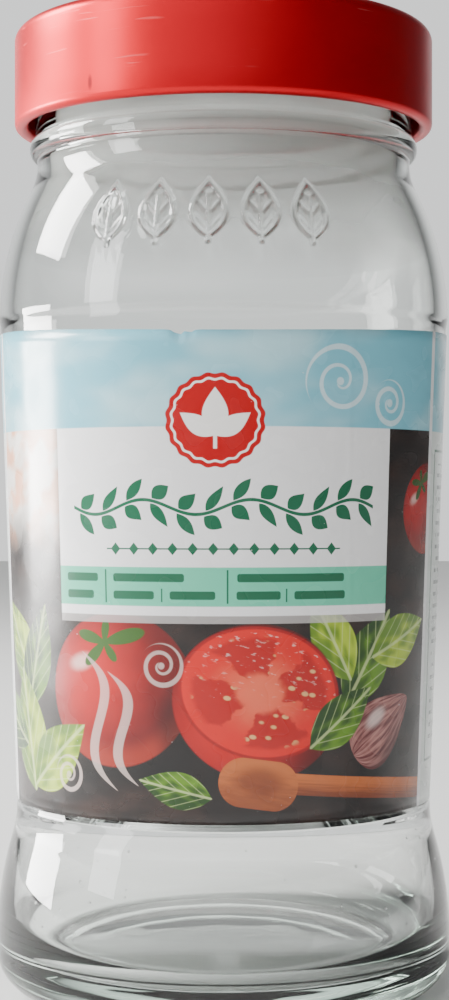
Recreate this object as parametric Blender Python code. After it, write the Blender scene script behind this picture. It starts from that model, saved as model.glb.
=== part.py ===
"""An empty tomato sauce jar: a waisted clear glass body, a paper label wrapped round it,
and a painted steel twist-off lid.

The jar stands on the XY plane with its axis on Z. The middle of the label faces -Y."""

import math

import bmesh
import bpy

MM = 0.001

# How finely everything is turned. Glass and label share the steps, so their facets line up.
TURN_STEPS = 60
STEP_ANGLE = 2 * math.pi / TURN_STEPS
FACE_GAP = 0.3 * MM

# Lid
LID_TOP = 156.2 * MM
LID_BOTTOM = 140.0 * MM
LID_RADIUS = 34.3 * MM
LID_WALL = 0.5 * MM
LID_CORNER = 1.9 * MM
CURL_RADIUS = 1.1 * MM
CURL_SWEEP = 240
PANEL_RECESS = 1.2 * MM
PANEL_RADIUS = 25.6 * MM
RECESS_WIDTH = 1.4 * MM
BUTTON_RADIUS = 9.5 * MM
BUTTON_RISE = 0.6 * MM
DOME_RADIUS = 7.6 * MM
DOME_EDGE_RISE = 0.54 * MM

# Foot of the glass
HEEL_RADIUS = 6.7 * MM
FOOT_RADIUS = 37.2 * MM
BEARING_OUTER = FOOT_RADIUS - HEEL_RADIUS
BEARING_WIDTH = 1.9 * MM
BEARING_INNER = BEARING_OUTER - BEARING_WIDTH
PUNT_HEIGHT = 2.4 * MM
FOOT_TOP = 8.0 * MM
FOOT_BEND = 60.0 * MM

# Label panel, a cone that narrows downwards
WAIST_RADIUS = 33.95 * MM
WAIST_HEIGHT = 30.0 * MM
PANEL_BOTTOM = 30.9 * MM
PANEL_TOP = 107.2 * MM
PANEL_BOTTOM_RADIUS = 33.5 * MM
PANEL_TAPER = 0.0364

# Shoulder, neck, carrying ring and mouth
SHOULDER_RADIUS = 36.8 * MM
SHOULDER_STEP = 1.0 * MM
SHOULDER_HEIGHT = 109.0 * MM
SHOULDER_BEND = 45.4 * MM
NECK_RADIUS = 30.6 * MM
NECK_HEIGHT = 134.4 * MM
RING_HEIGHT = 136.8 * MM
RING_RADIUS = 31.85 * MM
RING_HALF = 1.6 * MM
MOUTH_RADIUS = 31.0 * MM
MOUTH_TOP = LID_TOP - LID_WALL - FACE_GAP
RIM_ROUND = 1.2 * MM

# Inside of the glass
WALL = 2.2 * MM
BORE_RADIUS = 28.5 * MM
INNER_HEEL_RADIUS = 8.0 * MM
FLOOR_EDGE_HEIGHT = 5.6 * MM
FLOOR_CROWN = 1.0 * MM

# Paper label
LABEL_THICKNESS = 0.3 * MM
LABEL_BOTTOM = 31.3 * MM
LABEL_TOP = 104.6 * MM
LABEL_TOP_RISE = 1.8 * MM
LABEL_GAP_STEPS = 2


def arc(centre, radius, start, end, steps):
    """Points of an arc in the (radius, height) plane, from one angle in degrees to another."""
    points = []
    for i in range(steps + 1):
        angle = math.radians(start + (end - start) * i / steps)
        points.append((centre[0] + radius * math.cos(angle), centre[1] + radius * math.sin(angle)))
    return points


def double_bend(low, high, low_radius, steps):
    """Two arcs that meet, from an upright start at low to an upright end at high."""
    drift = high[0] - low[0]
    rise = high[1] - low[1]
    turn = 2 * math.atan(abs(drift) / rise)
    high_radius = rise / math.sin(turn) - low_radius
    side = math.copysign(1, drift)
    points = []
    for i in range(steps + 1):
        angle = turn * i / steps
        points.append((low[0] + side * low_radius * (1 - math.cos(angle)), low[1] + low_radius * math.sin(angle)))
    for i in range(steps - 1, -1, -1):
        angle = turn * i / steps
        points.append((high[0] - side * high_radius * (1 - math.cos(angle)), high[1] - high_radius * math.sin(angle)))
    return points


def crown(edge, centre_height, steps):
    """A shallow dome from its centre on the axis out to edge, as (radius, height) points."""
    points = []
    for i in range(steps + 1):
        share = i / steps
        points.append((edge[0] * share, centre_height + (edge[1] - centre_height) * share**2))
    return points


def panel_radius(height):
    """Radius of the glass label panel at a height."""
    return PANEL_BOTTOM_RADIUS + PANEL_TAPER * (height - PANEL_BOTTOM)


def glass_outline():
    """The glass in section: under the foot, up the outside, over the rim and down the inside."""
    heel = arc((BEARING_OUTER, HEEL_RADIUS), HEEL_RADIUS, -90, 0, 5)
    foot = double_bend((FOOT_RADIUS, FOOT_TOP), (WAIST_RADIUS, WAIST_HEIGHT), FOOT_BEND, 3)
    panel = [(panel_radius(z), z) for z in (PANEL_BOTTOM, PANEL_TOP)]
    shoulder_foot = (SHOULDER_RADIUS, PANEL_TOP + SHOULDER_STEP)
    shoulder = double_bend((SHOULDER_RADIUS, SHOULDER_HEIGHT), (NECK_RADIUS, NECK_HEIGHT), SHOULDER_BEND, 4)
    ring = []
    for i in range(7):
        angle = math.pi * (i / 6 - 0.5)
        root = NECK_RADIUS if i < 3 else MOUTH_RADIUS
        swell = (RING_RADIUS - root) * math.cos(angle)
        ring.append((root + swell, RING_HEIGHT + RING_HALF * math.sin(angle)))
    rim_outer = arc((MOUTH_RADIUS - RIM_ROUND, MOUTH_TOP - RIM_ROUND), RIM_ROUND, 0, 90, 3)
    rim_inner = arc((BORE_RADIUS + RIM_ROUND, MOUTH_TOP - RIM_ROUND), RIM_ROUND, 90, 180, 3)

    neck_inside = double_bend(
        (SHOULDER_RADIUS - WALL, SHOULDER_HEIGHT), (BORE_RADIUS, NECK_HEIGHT), SHOULDER_BEND, 3
    )
    inner_foot = FOOT_RADIUS - WALL
    inner_heel = arc(
        (inner_foot - INNER_HEEL_RADIUS, FLOOR_EDGE_HEIGHT + INNER_HEEL_RADIUS), INNER_HEEL_RADIUS, 0, -90, 5
    )
    foot_inside = double_bend(inner_heel[0], (WAIST_RADIUS - WALL, WAIST_HEIGHT), FOOT_BEND, 2)
    floor = crown(inner_heel[-1], FLOOR_EDGE_HEIGHT + FLOOR_CROWN, 3)

    outside = crown((BEARING_INNER, 0), PUNT_HEIGHT, 4) + heel + foot + panel
    outside += [shoulder_foot] + shoulder + ring + rim_outer
    inside = rim_inner + neck_inside[::-1] + foot_inside[::-1] + inner_heel[1:] + floor[-2::-1]
    return outside + inside


def lid_outline():
    """The lid in section: over the top from the centre, down the skirt, round the curl and back inside."""
    panel_top = LID_TOP - PANEL_RECESS
    button = [
        (0, panel_top + BUTTON_RISE),
        (DOME_RADIUS, panel_top + DOME_EDGE_RISE),
        (BUTTON_RADIUS, panel_top),
    ]
    step = [(PANEL_RADIUS, panel_top), (PANEL_RADIUS + RECESS_WIDTH, LID_TOP)]
    corner = arc((LID_RADIUS - LID_CORNER, LID_TOP - LID_CORNER), LID_CORNER, 90, 0, 4)
    curl_centre = (LID_RADIUS - CURL_RADIUS, LID_BOTTOM + CURL_RADIUS)
    curl = arc(curl_centre, CURL_RADIUS, 0, -CURL_SWEEP, 8)
    skirt_inside = [(LID_RADIUS - LID_WALL, LID_BOTTOM + 2 * CURL_RADIUS + LID_WALL)]
    inner_corner = arc(
        (LID_RADIUS - LID_CORNER, LID_TOP - LID_CORNER), LID_CORNER - LID_WALL, 0, 90, 3
    )
    underside = [(r, z - LID_WALL) for r, z in reversed(button + step)]
    return button + step + corner + curl + skirt_inside + inner_corner + underside


def label_outline():
    """The label in section, standing clear of the glass panel."""
    points = []
    for height, offset in (
        (LABEL_BOTTOM, FACE_GAP),
        (LABEL_BOTTOM, FACE_GAP + LABEL_THICKNESS),
        (LABEL_TOP, FACE_GAP + LABEL_THICKNESS),
        (LABEL_TOP, FACE_GAP),
    ):
        points.append((panel_radius(height) + offset, height))
    return points


def turn(outline, ring=False, gap_steps=0):
    """Spins an outline about Z. A ring's outline is a closed loop. A gap faces +Y."""
    bm = bmesh.new()
    start = math.pi / 2 + gap_steps * STEP_ANGLE / 2
    corners = [bm.verts.new((r * math.cos(start), r * math.sin(start), z)) for r, z in outline]
    ends = corners[1:] + corners[:1] if ring else corners[1:]
    edges = [bm.edges.new(pair) for pair in zip(corners, ends)]
    bmesh.ops.spin(
        bm,
        geom=corners + edges,
        cent=(0, 0, 0),
        axis=(0, 0, 1),
        angle=2 * math.pi - gap_steps * STEP_ANGLE,
        steps=TURN_STEPS - gap_steps,
    )
    bmesh.ops.remove_doubles(bm, verts=bm.verts, dist=0.001 * MM)
    if gap_steps:
        open_edges = [edge for edge in bm.edges if edge.is_boundary]
        bmesh.ops.holes_fill(bm, edges=open_edges, sides=len(outline))
    bmesh.ops.recalc_face_normals(bm, faces=bm.faces)
    return bm


def raise_label_top(bm):
    """Lets the label's top edge climb towards the sides, as cut paper does on a tapering panel."""
    for vert in bm.verts:
        if vert.co.z < LABEL_TOP - FACE_GAP:
            continue
        radius = math.hypot(vert.co.x, vert.co.y)
        climb = LABEL_TOP_RISE * (vert.co.x / radius) ** 2
        widen = 1 + PANEL_TAPER * climb / radius
        vert.co.x *= widen
        vert.co.y *= widen
        vert.co.z += climb


def finish(name, color, roughness, metallic=0.0, transmission=0.0):
    """A material with the colour and gloss of one piece."""
    material = bpy.data.materials.new(name)
    material.use_nodes = True
    shader = material.node_tree.nodes["Principled BSDF"]
    shader.inputs["Base Color"].default_value = (*color, 1)
    shader.inputs["Roughness"].default_value = roughness
    shader.inputs["Metallic"].default_value = metallic
    shader.inputs["Transmission Weight"].default_value = transmission
    material.diffuse_color = (*color, 1)
    return material


def add_piece(name, bm, material, parent, sharp_degrees=30):
    """Turns a bmesh into a named object, shaded smooth except at real corners."""
    mesh = bpy.data.meshes.new(name)
    bm.to_mesh(mesh)
    bm.free()
    mesh.shade_smooth()
    mesh.set_sharp_from_angle(angle=math.radians(sharp_degrees))
    mesh.materials.append(material)
    piece = bpy.data.objects.new(name, mesh)
    piece.parent = parent
    bpy.context.scene.collection.objects.link(piece)
    return piece


def build_glass(parent):
    glass = finish("clear_glass", (0.93, 0.96, 0.94), 0.02, transmission=1.0)
    add_piece("jar_glass", turn(glass_outline()), glass, parent)


def build_label(parent):
    paper = finish("printed_paper", (0.86, 0.88, 0.88), 0.35)
    bm = turn(label_outline(), ring=True, gap_steps=LABEL_GAP_STEPS)
    raise_label_top(bm)
    add_piece("label", bm, paper, parent)


def build_lid(parent):
    paint = finish("red_lacquer", (0.62, 0.01, 0.02), 0.25)
    add_piece("lid", turn(lid_outline()), paint, parent)


def main():
    for old in list(bpy.data.objects):
        bpy.data.objects.remove(old, do_unlink=True)
    jar = bpy.data.objects.new("jar", None)
    bpy.context.scene.collection.objects.link(jar)
    build_glass(jar)
    build_label(jar)
    build_lid(jar)


main()
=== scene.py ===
# %% [markdown]
# # An empty tomato sauce jar
# This lesson dresses a jar in the finishes of the real thing: clear glass with a thick bottom, a
# printed paper label and a lacquered steel lid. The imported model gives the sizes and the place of
# each piece. Every cell makes one thing and prints what it made.

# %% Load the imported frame
import math

import bmesh
import bpy
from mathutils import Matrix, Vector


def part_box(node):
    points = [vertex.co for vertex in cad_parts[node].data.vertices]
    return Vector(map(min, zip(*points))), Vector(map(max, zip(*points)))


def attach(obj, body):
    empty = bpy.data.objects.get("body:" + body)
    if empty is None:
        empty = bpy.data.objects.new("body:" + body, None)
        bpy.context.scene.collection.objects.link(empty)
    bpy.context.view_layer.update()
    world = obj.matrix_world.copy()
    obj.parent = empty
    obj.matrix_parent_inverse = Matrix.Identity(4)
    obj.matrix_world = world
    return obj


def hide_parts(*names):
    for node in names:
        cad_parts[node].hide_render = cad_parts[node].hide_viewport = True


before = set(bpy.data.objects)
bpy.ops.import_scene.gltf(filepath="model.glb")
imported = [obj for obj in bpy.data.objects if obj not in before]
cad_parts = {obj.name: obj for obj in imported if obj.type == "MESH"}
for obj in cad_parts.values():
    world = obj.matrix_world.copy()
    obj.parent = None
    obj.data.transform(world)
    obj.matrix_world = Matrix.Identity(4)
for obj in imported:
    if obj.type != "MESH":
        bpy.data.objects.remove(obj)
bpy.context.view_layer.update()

for name in sorted(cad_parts):
    low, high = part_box(name)
    print(name, "from", [round(v * 1000, 2) for v in low], "to", [round(v * 1000, 2) for v in high], "mm")

# %% [markdown]
# ## Measures
# The jar is turned, so a few radii and heights describe it. They are written in millimetres and
# multiplied by `MM`, because Blender counts in metres. The lid's height, the foot and the label's
# edges are read from the frame, so the dressed pieces stay where the solids are.

# %% Read the sizes that the frame gives
MM = 0.001
GLASS_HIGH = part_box("jar_glass")[1]
LID_LOW, LID_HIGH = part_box("lid")
LABEL_LOW, LABEL_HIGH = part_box("label")
FOOT_RADIUS = GLASS_HIGH.x
LID_RADIUS = LID_HIGH.x
LID_TOP = LID_HIGH.z
LID_BOTTOM = LID_LOW.z
LABEL_BOTTOM = LABEL_LOW.z
print("foot", round(FOOT_RADIUS / MM, 2), "lid", round(LID_RADIUS / MM, 2), "top", round(LID_TOP / MM, 2))

# %% [markdown]
# ## The camera
# The photograph was taken level with the middle of the jar, from close by. A camera that stays level
# keeps the jar's sides upright. Its height decides how round the rims look: the lid is seen from
# below and the foot from above.

# %% Place the camera
VIEW_DISTANCE = 330 * MM
VIEW_HEIGHT = 78.8 * MM
LENS = 71.9
FRAME_LONG_SIDE = 1000
HORIZON_DROP = 5
JAR_SHIFT = 1

camera_data = bpy.data.cameras.new("view")
camera_data.lens = LENS
camera_data.sensor_width = 36
camera_data.shift_y = HORIZON_DROP / FRAME_LONG_SIDE
camera_data.shift_x = JAR_SHIFT / FRAME_LONG_SIDE
camera_data.clip_start = 0.01
camera = bpy.data.objects.new("view", camera_data)
camera.location = (0, -VIEW_DISTANCE, VIEW_HEIGHT)
camera.rotation_euler = (math.radians(90), 0, 0)
bpy.context.scene.collection.objects.link(camera)
bpy.context.scene.camera = camera
print("camera at", [round(v / MM) for v in camera.location], "mm, lens", LENS)

# %% [markdown]
# ## Curves for turned outlines
# A turned piece needs one outline, half of its section. Round stretches come from two helpers: a
# plain arc, and a double bend, which is two arcs that meet, upright at both ends. That is how a
# mould maker draws a shoulder that runs into a neck.

# %% Outline helpers
def arc(centre, radius, start, end, steps):
    """Points of an arc in the (radius, height) plane, from one angle in degrees to another."""
    points = []
    for i in range(steps + 1):
        angle = math.radians(start + (end - start) * i / steps)
        points.append((centre[0] + radius * math.cos(angle), centre[1] + radius * math.sin(angle)))
    return points


def double_bend(low, high, low_radius, steps):
    """Two arcs that meet, from an upright start at low to an upright end at high."""
    drift = high[0] - low[0]
    rise = high[1] - low[1]
    turn = 2 * math.atan(abs(drift) / rise)
    high_radius = rise / math.sin(turn) - low_radius
    side = math.copysign(1, drift)
    first = [turn * i / steps for i in range(steps + 1)]
    points = []
    for a in first:
        points.append((low[0] + side * low_radius * (1 - math.cos(a)), low[1] + low_radius * math.sin(a)))
    for a in first[-2::-1]:
        points.append((high[0] - side * high_radius * (1 - math.cos(a)), high[1] - high_radius * math.sin(a)))
    return points


def crown(edge, centre_height, steps):
    """A shallow dome from its centre on the axis out to edge."""
    shares = [i / steps for i in range(steps + 1)]
    return [(edge[0] * s, centre_height + (edge[1] - centre_height) * s**2) for s in shares]


def straight(start, end, steps):
    """Points along a straight stretch, without its first one."""
    shares = [i / steps for i in range(1, steps + 1)]
    return [(start[0] + (end[0] - start[0]) * s, start[1] + (end[1] - start[1]) * s) for s in shares]


print("a shoulder of six points:", len(double_bend((36, 0), (30, 25), 45, 3)) - 1, "steps")

# %% [markdown]
# ## A lathe in Geometry Nodes
# The glass and the lid are both turned, so one node tree makes them. It lays out a grid with a column
# for each step of the turn and a row for each point of the outline. Then it looks up the outline's
# point for each row and swings it round the axis. Sampling by index keeps the outline's exact points,
# which a screw modifier would do too, but the tree can be reused with any outline and any step count.

# %% Build the lathe tree
def new_tree(name, sockets):
    """A geometry node tree with a geometry input and output, and named inputs between them."""
    tree = bpy.data.node_groups.new(name, "GeometryNodeTree")
    tree.interface.new_socket("Geometry", in_out="INPUT", socket_type="NodeSocketGeometry")
    for label, kind, value in sockets:
        socket = tree.interface.new_socket(label, in_out="INPUT", socket_type=kind)
        if value is not None:
            socket.default_value = value
    tree.interface.new_socket("Geometry", in_out="OUTPUT", socket_type="NodeSocketGeometry")
    return tree


def add_node(tree, kind, values=None, **settings):
    """Adds a node, sets its settings by name and its inputs by name or number, and links sockets."""
    node = tree.nodes.new(kind)
    for key, value in settings.items():
        setattr(node, key, value)
    for key, value in (values or {}).items():
        if isinstance(value, bpy.types.NodeSocket):
            tree.links.new(value, node.inputs[key])
        else:
            node.inputs[key].default_value = value
    return node


def end_tree(tree, geometry, material):
    """Every tree ends alike: smooth shading, real meshes instead of instances, and its material."""
    smooth = add_node(tree, "GeometryNodeSetShadeSmooth", {"Geometry": geometry})
    real = add_node(tree, "GeometryNodeRealizeInstances", {"Geometry": smooth.outputs[0]})
    painted = add_node(tree, "GeometryNodeSetMaterial", {"Geometry": real.outputs[0], "Material": material})
    add_node(tree, "NodeGroupOutput", {0: painted.outputs[0]})


def build_lathe():
    tree = new_tree("lathe", [
        ("Steps", "NodeSocketInt", 360),
        ("Material", "NodeSocketMaterial", None),
    ])
    given = add_node(tree, "NodeGroupInput").outputs
    size = add_node(tree, "GeometryNodeAttributeDomainSize", {"Geometry": given["Geometry"]})
    rows = size.outputs["Point Count"]
    columns = add_node(tree, "ShaderNodeMath", {0: given["Steps"], 1: 1.0}, operation="ADD")
    grid = add_node(tree, "GeometryNodeMeshGrid", {"Vertices X": columns.outputs[0], "Vertices Y": rows})
    index = add_node(tree, "GeometryNodeInputIndex").outputs[0]
    row = add_node(tree, "ShaderNodeMath", {0: index, 1: rows}, operation="MODULO")
    turned = add_node(tree, "ShaderNodeMath", {0: index, 1: rows}, operation="DIVIDE")
    column = add_node(tree, "ShaderNodeMath", {0: turned.outputs[0]}, operation="FLOOR")
    share = add_node(tree, "ShaderNodeMath", {0: column.outputs[0], 1: given["Steps"]}, operation="DIVIDE")
    angle = add_node(tree, "ShaderNodeMath", {0: share.outputs[0], 1: 2 * math.pi}, operation="MULTIPLY")
    place = add_node(tree, "GeometryNodeInputPosition").outputs[0]
    point = add_node(
        tree, "GeometryNodeSampleIndex",
        {"Geometry": given["Geometry"]}, data_type="FLOAT_VECTOR", domain="POINT",
    )
    tree.links.new(place, point.inputs["Value"])
    tree.links.new(row.outputs[0], point.inputs["Index"])
    swung = add_node(
        tree, "ShaderNodeVectorRotate",
        {"Vector": point.outputs[0], "Angle": angle.outputs[0]}, rotation_type="Z_AXIS",
    )
    moved = add_node(
        tree, "GeometryNodeSetPosition", {"Geometry": grid.outputs["Mesh"], "Position": swung.outputs[0]},
    )
    merged = add_node(
        tree, "GeometryNodeMergeByDistance", {"Geometry": moved.outputs[0], "Distance": 0.0005 * MM},
    )
    end_tree(tree, merged.outputs[0], given["Material"])
    return tree


LATHE = build_lathe()
print("lathe tree:", len(LATHE.nodes), "nodes")

# %% [markdown]
# ## From a node tree to a plain mesh
# A tree works only while its modifier is there, and the part needs meshes that stand alone. So the
# result is copied out, the modifier goes, and the faces of each closed piece are turned outwards, which
# glass needs more than anything: its shader has to know which side is inside.

# %% Turn a tree's result into a plain mesh
def link(name, mesh):
    piece = bpy.data.objects.new(name, mesh)
    bpy.context.scene.collection.objects.link(piece)
    return piece


def run_tree(name, start_mesh, tree, inputs):
    """Runs a node tree on a mesh and keeps the result as an ordinary mesh object."""
    carrier = link(name + "_start", start_mesh)
    modifier = carrier.modifiers.new("tree", "NODES")
    modifier.node_group = tree
    for item in tree.interface.items_tree:
        if item.item_type == "SOCKET" and item.in_out == "INPUT" and item.name in inputs:
            modifier[item.identifier] = inputs[item.name]
    bpy.context.view_layer.update()
    graph = bpy.context.evaluated_depsgraph_get()
    mesh = bpy.data.meshes.new_from_object(carrier.evaluated_get(graph), depsgraph=graph)
    carrier.modifiers.clear()
    bpy.data.objects.remove(carrier)
    mesh.name = name
    return link(name, mesh)


def face_out(piece):
    """Merges leftovers and makes all faces of a closed piece point outwards."""
    bm = bmesh.new()
    bm.from_mesh(piece.data)
    bmesh.ops.remove_doubles(bm, verts=bm.verts, dist=0.0002 * MM)
    bmesh.ops.recalc_face_normals(bm, faces=bm.faces)
    bm.to_mesh(piece.data)
    bm.free()
    return piece


def turn_piece(name, outline, steps, material):
    mesh = bpy.data.meshes.new(name + "_outline")
    mesh.from_pydata([(r, 0, z) for r, z in outline], [(i, i + 1) for i in range(len(outline) - 1)], [])
    piece = face_out(run_tree(name, mesh, LATHE, {"Steps": steps, "Material": material}))
    print(name, "has", len(piece.data.polygons), "faces")
    return piece


print("mesh helpers ready")

# %% [markdown]
# ## Formulas in shader nodes
# Printed shapes are sums and distances, and a formula such as `x * x + y * y` takes three nodes. The
# `Wire` class below wraps a socket, so that Python's own plus and times place those nodes. Nothing
# else is hidden in it: each operator adds one Math node.

# %% The Wire class
class Wire:
    """A shader socket that can be used in a formula."""

    def __init__(self, tree, socket):
        self.tree = tree
        self.socket = socket

    def math(self, operation, *others, clamp=False):
        node = self.tree.nodes.new("ShaderNodeMath")
        node.operation = operation
        node.use_clamp = clamp
        for slot, value in enumerate((self, *others)):
            plug(self.tree, node.inputs[slot], value)
        return Wire(self.tree, node.outputs[0])

    def __add__(self, other):
        return self.math("ADD", other)

    def __sub__(self, other):
        return self.math("SUBTRACT", other)

    def __rsub__(self, other):
        return (self * -1).math("ADD", other)

    def __mul__(self, other):
        return self.math("MULTIPLY", other)

    def __truediv__(self, other):
        return self.math("DIVIDE", other)

    __radd__ = __add__
    __rmul__ = __mul__


def plug(tree, target, value):
    """Feeds a socket from a Wire, a socket or a plain value."""
    if isinstance(value, Wire):
        tree.links.new(value.socket, target)
    elif isinstance(value, bpy.types.NodeSocket):
        tree.links.new(value, target)
    elif isinstance(value, tuple) and len(value) == 3 and target.type == "RGBA":
        target.default_value = (*value, 1)
    else:
        target.default_value = value


def length(x, y):
    return (x * x + y * y).math("SQRT")


def ramp(value, low, high):
    """0 below low, 1 above high, and a soft step between. With low above high it falls instead."""
    node = value.tree.nodes.new("ShaderNodeMapRange")
    node.interpolation_type = "SMOOTHSTEP"
    if low < high:
        ends = (low, high, 0.0, 1.0)
    else:
        ends = (high, low, 1.0, 0.0)
    plug(value.tree, node.inputs[0], value)
    for slot, end in enumerate(ends, start=1):
        node.inputs[slot].default_value = end
    return Wire(value.tree, node.outputs[0])


print("formula helpers ready")

# %% [markdown]
# ## Colours and groups
# Print and lacquer are made of node groups with named inputs, so one motif can be laid down many times.
# Colours are written as a screen shows them, and one function turns them into the linear light that a
# shader works in.

# %% Colour sockets and node groups
def color_output(node):
    """A Mix node has one output for each kind of data, and this finds the colour one."""
    return next(s for s in node.outputs if s.type == "RGBA")


def new_group(name, inputs, outputs):
    """A shader node group with named inputs and outputs. Returns it, its inputs as Wires, and its end."""
    tree = bpy.data.node_groups.new(name, "ShaderNodeTree")
    kinds = {"number": "NodeSocketFloat", "color": "NodeSocketColor", "vector": "NodeSocketVector"}
    for label, kind, value in inputs:
        socket = tree.interface.new_socket(label, in_out="INPUT", socket_type=kinds[kind])
        if value is not None:
            socket.default_value = (*value, 1) if kind == "color" else value
    for label, kind in outputs:
        tree.interface.new_socket(label, in_out="OUTPUT", socket_type=kinds[kind])
    given = tree.nodes.new("NodeGroupInput")
    end = tree.nodes.new("NodeGroupOutput")
    return tree, {label: Wire(tree, given.outputs[label]) for label, _, _ in inputs}, end


def use_group(tree, group, **values):
    """Places a group. Its inputs are given by name, with _ for a space."""
    node = tree.nodes.new("ShaderNodeGroup")
    node.node_tree = group
    for key, value in values.items():
        plug(tree, node.inputs[key.replace("_", " ")], value)
    return {socket.name: Wire(tree, socket) for socket in node.outputs}


def mix(tree, mask, under, over, mode="MIX"):
    """Lays one colour over another where the mask is 1."""
    node = tree.nodes.new("ShaderNodeMix")
    node.data_type = "RGBA"
    node.blend_type = mode
    plug(tree, node.inputs[0], mask)
    for label, value in (("A", under), ("B", over)):
        target = next(s for s in node.inputs if s.name == label and s.type == "RGBA")
        plug(tree, target, value)
    return Wire(tree, color_output(node))


def noise(tree, scale, detail=3, vector=None, kind="Fac"):
    node = tree.nodes.new("ShaderNodeTexNoise")
    node.inputs["Scale"].default_value = scale
    node.inputs["Detail"].default_value = detail
    if vector is not None:
        plug(tree, node.inputs["Vector"], vector)
    return Wire(tree, node.outputs[kind])


def rgb(red, green, blue):
    """A colour as a screen shows it, 0 to 255, turned into the linear light that shaders work in."""
    shown = [c / 255 for c in (red, green, blue)]
    return tuple(((s + 0.055) / 1.055) ** 2.4 if s > 0.04045 else s / 12.92 for s in shown)


print("mid red in linear light:", [round(c, 3) for c in rgb(205, 42, 54)])

# %% [markdown]
# ## Clear glass
# Jar glass is almost colourless. Its green shows only where the light runs through a lot of it, along
# the sides and in the thick bottom, so the colour is put in the volume and not on the surface. The
# wall of a blown jar is never quite even, and a faint bump bends the light as those waves do. A rinsed
# jar also keeps a thin film of dried water, which is a little rougher in patches.

# %% The glass material
def new_material(name):
    """A material with its Principled shader and its output."""
    material = bpy.data.materials.new(name)
    material.use_nodes = True
    tree = material.node_tree
    return material, tree, tree.nodes["Principled BSDF"], tree.nodes["Material Output"]


def object_place(tree):
    return Wire(tree, tree.nodes.new("ShaderNodeTexCoord").outputs["Object"])


def bump(tree, height, strength, distance, normal=None):
    node = tree.nodes.new("ShaderNodeBump")
    node.inputs["Strength"].default_value = strength
    node.inputs["Distance"].default_value = distance
    plug(tree, node.inputs["Height"], height)
    if normal is not None:
        plug(tree, node.inputs["Normal"], normal)
    return Wire(tree, node.outputs[0])


GLASS_INDEX = 1.52
GLASS_DEPTH_TINT = (0.62, 0.86, 0.72)
GLASS_DEPTH_DENSITY = 14.0


def make_glass():
    material, tree, shader, output = new_material("clear_glass")
    place = object_place(tree)
    wall_waves = noise(tree, 34, 0, place)
    split = tree.nodes.new("ShaderNodeSeparateXYZ")
    plug(tree, split.inputs[0], place)
    low_down = ramp(Wire(tree, split.outputs[2]), 14 * MM, 4 * MM)
    swirls = noise(tree, 95, 1, place) * low_down
    cloud = ramp(noise(tree, 26, 2, place), 0.52, 0.72)
    shader.inputs["Base Color"].default_value = (0.985, 0.995, 0.988, 1)
    shader.inputs["IOR"].default_value = GLASS_INDEX
    shader.inputs["Transmission Weight"].default_value = 1.0
    plug(tree, shader.inputs["Roughness"], cloud * 0.035 + 0.004)
    plug(tree, shader.inputs["Normal"], bump(tree, wall_waves + swirls * 0.6, 0.35, 0.6 * MM))
    absorb = tree.nodes.new("ShaderNodeVolumeAbsorption")
    absorb.inputs["Color"].default_value = (*GLASS_DEPTH_TINT, 1)
    absorb.inputs["Density"].default_value = GLASS_DEPTH_DENSITY
    tree.links.new(absorb.outputs[0], output.inputs["Volume"])
    return material


GLASS = make_glass()
print("glass material with", len(GLASS.node_tree.nodes), "nodes")

# %% [markdown]
# ## The glass body
# The jar is blown into a mould that closes round it, so its outside is crisp and its inside follows
# only roughly, with a thick bottom where the glass collects. One outline runs under the foot, up the
# outside, over the rim and down the inside, and the lathe turns it into one closed shell. The outline
# has many rows on the shoulder, because the relief is pressed into those later.

# %% Outline of the glass
HEEL = 6.7 * MM
BEARING_OUTER = FOOT_RADIUS - HEEL
BEARING_INNER = BEARING_OUTER - 1.9 * MM
PUNT_HEIGHT = 2.4 * MM
FOOT_TOP = 8.0 * MM
FOOT_BEND = 60 * MM
WAIST = (33.95 * MM, 30.0 * MM)
PANEL_LOW = 30.9 * MM
PANEL_HIGH = 107.2 * MM
PANEL_LOW_RADIUS = 33.75 * MM
PANEL_TAPER = 0.0364
SHOULDER = (36.8 * MM, 109.0 * MM)
SHOULDER_BEND = 45.4 * MM
NECK = (30.6 * MM, 134.4 * MM)
RING_RADIUS = 31.85 * MM
RING_HEIGHT = 136.8 * MM
RING_HALF = 1.6 * MM
MOUTH_RADIUS = 31.0 * MM
MOUTH_TOP = GLASS_HIGH.z
RIM_ROUND = 1.2 * MM
WALL = 2.2 * MM
BORE = 28.5 * MM
INNER_HEEL = 8.0 * MM
FLOOR_EDGE = 5.6 * MM
FLOOR_CROWN = 1.0 * MM


def panel_radius(height):
    return PANEL_LOW_RADIUS + PANEL_TAPER * (height - PANEL_LOW)


def ease(start, end, steps):
    """An S-shaped step of the wall from one point up to another, without its first point."""
    points = []
    for i in range(1, steps + 1):
        share = i / steps
        swing = share * share * (3 - 2 * share)
        points.append((start[0] + (end[0] - start[0]) * swing, start[1] + (end[1] - start[1]) * share))
    return points


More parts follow.
